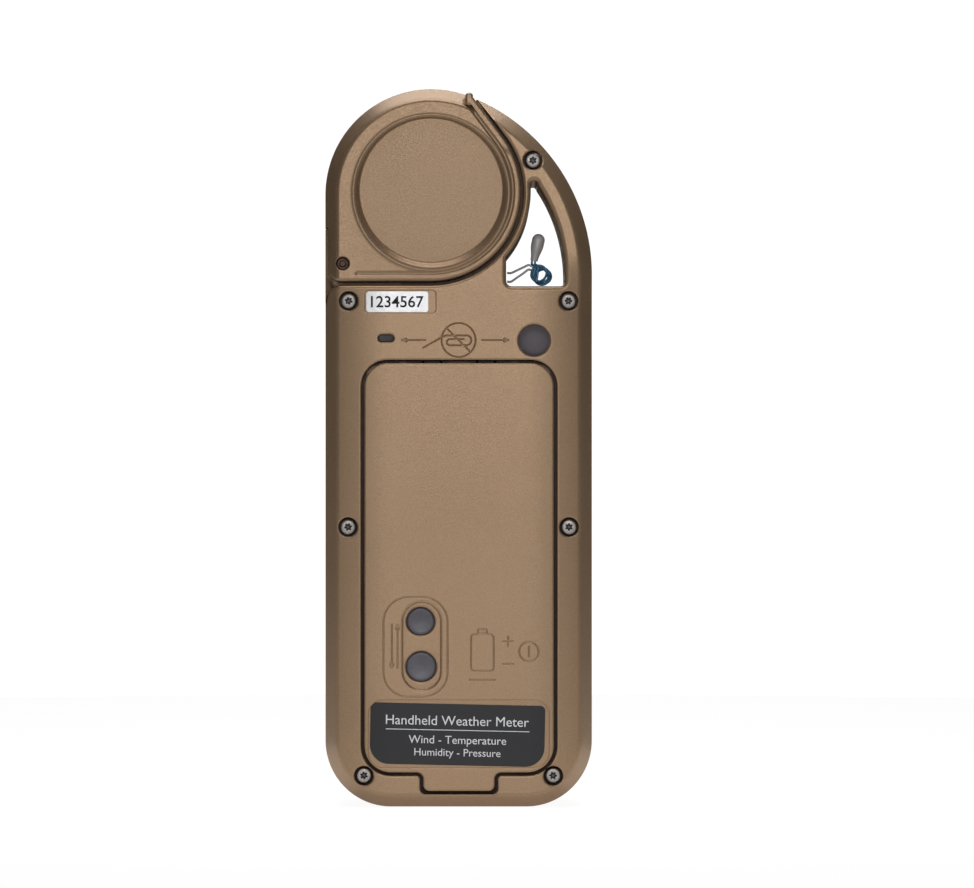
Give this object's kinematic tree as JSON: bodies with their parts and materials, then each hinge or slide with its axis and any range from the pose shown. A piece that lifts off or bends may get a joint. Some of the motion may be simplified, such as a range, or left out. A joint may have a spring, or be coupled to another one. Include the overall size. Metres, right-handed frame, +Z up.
{
  "type": "handheld weather meter",
  "caption": "Handheld weather meter with a covered wind impeller, air temperature window, display and keys, and a battery door at the back.",
  "frame": {"origin": "middle of the foot that the meter stands on, which is the middle of the base of its box", "axes": "+Z up the length from the foot to the flip cover, +Y out of the back with the battery door, -Y out of the display, +X towards the flip cover's hinge"},
  "size_m": [0.0472, 0.028, 0.127],
  "materials": {
    "case_plastic": "fine moulded grain",
    "cover_plastic": "fine moulded grain",
    "door_plastic": "fine moulded grain",
    "seal_rubber": "soft black",
    "key_rubber": "silicone",
    "mat_rubber": "silicone",
    "screw_steel": "stainless",
    "pin_steel": "stainless",
    "spring_steel": "nickel plated",
    "impeller_plastic": "light moulded blades",
    "housing_plastic": "moulded",
    "jewel": "synthetic sapphire",
    "magnet": "sintered",
    "chip": "moulded package",
    "board": "solder mask",
    "lead_insulation": "thin blue coating",
    "bead_epoxy": "grey epoxy",
    "membrane": "porous",
    "plug": "soft",
    "dark_label": "printed film",
    "white_label": "printed film",
    "infrared_filter": "dark filter",
    "diode_lens": "clear tinted",
    "cell_sleeve": "printed sleeve",
    "display_glass": "clear pane",
    "lcd": "reflective display",
    "bezel_plastic": "fine texture",
    "frame_plastic": "white moulding"
  },
  "bodies": {
    "case": {"rear_case": "case_plastic", "front_case": "case_plastic", "case_gasket": "seal_rubber", "case_screws": "screw_steel", "cover_pivot_pin": "pin_steel", "impeller_housing": "housing_plastic", "impeller_bearings": "jewel", "impeller_pickup": "chip", "thermistor_grommet": "case_plastic", "thermistor_leads": "lead_insulation", "thermistor_bead": "bead_epoxy", "sensor_board": "board", "humidity_sensor": "chip", "humidity_membrane": "membrane", "pressure_sensor": "chip", "pressure_port_plug": "plug", "serial_label": "white_label", "infrared_board": "board", "infrared_diodes": "diode_lens", "battery_cell": "cell_sleeve", "battery_positive_contact": "spring_steel", "battery_negative_spring": "spring_steel", "main_board": "board", "microcontroller": "chip", "lcd_module": "lcd", "lcd_frame": "frame_plastic", "display_window": "display_glass", "front_bezel": "bezel_plastic", "keypad_mat": "mat_rubber", "dome_switches": "spring_steel"},
    "cover": {"flip_cover": "cover_plastic"},
    "impeller": {"impeller_rotor": "impeller_plastic", "impeller_axle": "pin_steel", "impeller_magnet": "magnet"},
    "door": {"battery_door": "door_plastic", "door_gasket": "seal_rubber", "door_label": "dark_label", "infrared_windows": "infrared_filter"},
    "power_key_body": {"power_key": "key_rubber"},
    "down_key_body": {"down_key": "key_rubber"},
    "select_key_body": {"select_key": "key_rubber"},
    "up_key_body": {"up_key": "key_rubber"},
    "left_key_body": {"left_key": "key_rubber"},
    "right_key_body": {"right_key": "key_rubber"},
    "exit_key_body": {"exit_key": "key_rubber"},
    "capture_key_body": {"capture_key": "key_rubber"}
  },
  "joints": [
    {"name": "cover_hinge", "type": "hinge", "parent": "case", "child": "cover", "pos_m": [0.02045, 0, 0.096], "axis": [0, 1, 0], "range_deg": [0, 110]},
    {"name": "impeller_spin", "type": "hinge", "parent": "case", "child": "impeller", "pos_m": [0.00485, 0, 0.10875], "axis": [0, 1, 0], "continuous": true},
    {"name": "door_hinge", "type": "hinge", "parent": "case", "child": "door", "pos_m": [0, 0.0139, 0.0783], "axis": [1, 0, 0], "range_deg": [0, 75]},
    {"name": "power_key_press", "type": "slide", "parent": "case", "child": "power_key_body", "axis": [0, 1, 0], "range_m": [0, 0.0007], "stiffness_N_per_m": 500},
    {"name": "down_key_press", "type": "slide", "parent": "case", "child": "down_key_body", "axis": [0, 1, 0], "range_m": [0, 0.0007], "stiffness_N_per_m": 500},
    {"name": "select_key_press", "type": "slide", "parent": "case", "child": "select_key_body", "axis": [0, 1, 0], "range_m": [0, 0.0007], "stiffness_N_per_m": 500},
    {"name": "up_key_press", "type": "slide", "parent": "case", "child": "up_key_body", "axis": [0, 1, 0], "range_m": [0, 0.0007], "stiffness_N_per_m": 500},
    {"name": "left_key_press", "type": "slide", "parent": "case", "child": "left_key_body", "axis": [0, 1, 0], "range_m": [0, 0.0007], "stiffness_N_per_m": 500},
    {"name": "right_key_press", "type": "slide", "parent": "case", "child": "right_key_body", "axis": [0, 1, 0], "range_m": [0, 0.0007], "stiffness_N_per_m": 500},
    {"name": "exit_key_press", "type": "slide", "parent": "case", "child": "exit_key_body", "axis": [0, 1, 0], "range_m": [0, 0.0007], "stiffness_N_per_m": 500},
    {"name": "capture_key_press", "type": "slide", "parent": "case", "child": "capture_key_body", "axis": [0, 1, 0], "range_m": [0, 0.0007], "stiffness_N_per_m": 500}
  ]
}
